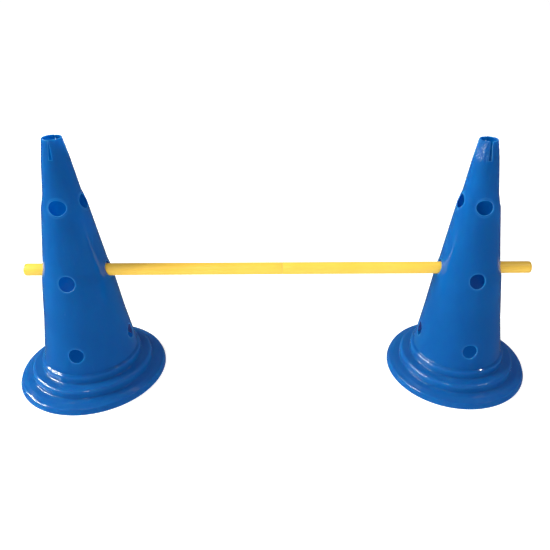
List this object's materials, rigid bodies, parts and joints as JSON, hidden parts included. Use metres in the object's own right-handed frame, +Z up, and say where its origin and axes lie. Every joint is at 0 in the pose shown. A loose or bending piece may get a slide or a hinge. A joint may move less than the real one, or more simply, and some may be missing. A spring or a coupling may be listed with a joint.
{
  "type": "agility hurdle",
  "caption": "Free-standing agility hurdle: hollow perforated cones with stepped round bases carry a removable jump pole through their side holes.",
  "frame": {"origin": "on the floor, midway between the two cone axes", "axes": "+X along the pole from the left cone to the right cone, +Y away from the viewer, +Z up"},
  "size_m": [1.066, 0.2918, 0.505],
  "materials": {
    "cone_plastic": "semi-gloss moulded polyethylene",
    "pole_plastic": "satin extruded plastic",
    "cap_plastic": "satin moulded plastic",
    "connector_plastic": "plain moulded plastic"
  },
  "bodies": {
    "left_cone": {"left_cone": "cone_plastic"},
    "right_cone": {"right_cone": "cone_plastic"},
    "pole_connector": {"pole_connector": "connector_plastic"},
    "pole_left": {"pole_tube_left": "pole_plastic", "end_cap_left": "cap_plastic"},
    "pole_right": {"pole_tube_right": "pole_plastic", "end_cap_right": "cap_plastic"}
  },
  "joints": [
    {"name": "cone_spacing", "type": "slide", "parent": "left_cone", "child": "right_cone", "axis": [1, 0, 0], "range_m": [-0.47, 0.055]},
    {"name": "pole_slide", "type": "slide", "parent": "left_cone", "child": "pole_connector", "axis": [1, 0, 0], "range_m": [-0.97, 0.94]},
    {"name": "pole_spin", "type": "hinge", "parent": "pole_connector", "child": "pole_left", "pos_m": [0.0133, 0, 0.24085], "axis": [1, 0, 0], "continuous": true},
    {"name": "pole_pull_apart", "type": "slide", "parent": "pole_left", "child": "pole_right", "axis": [1, 0, 0], "range_m": [0, 0.06]}
  ]
}
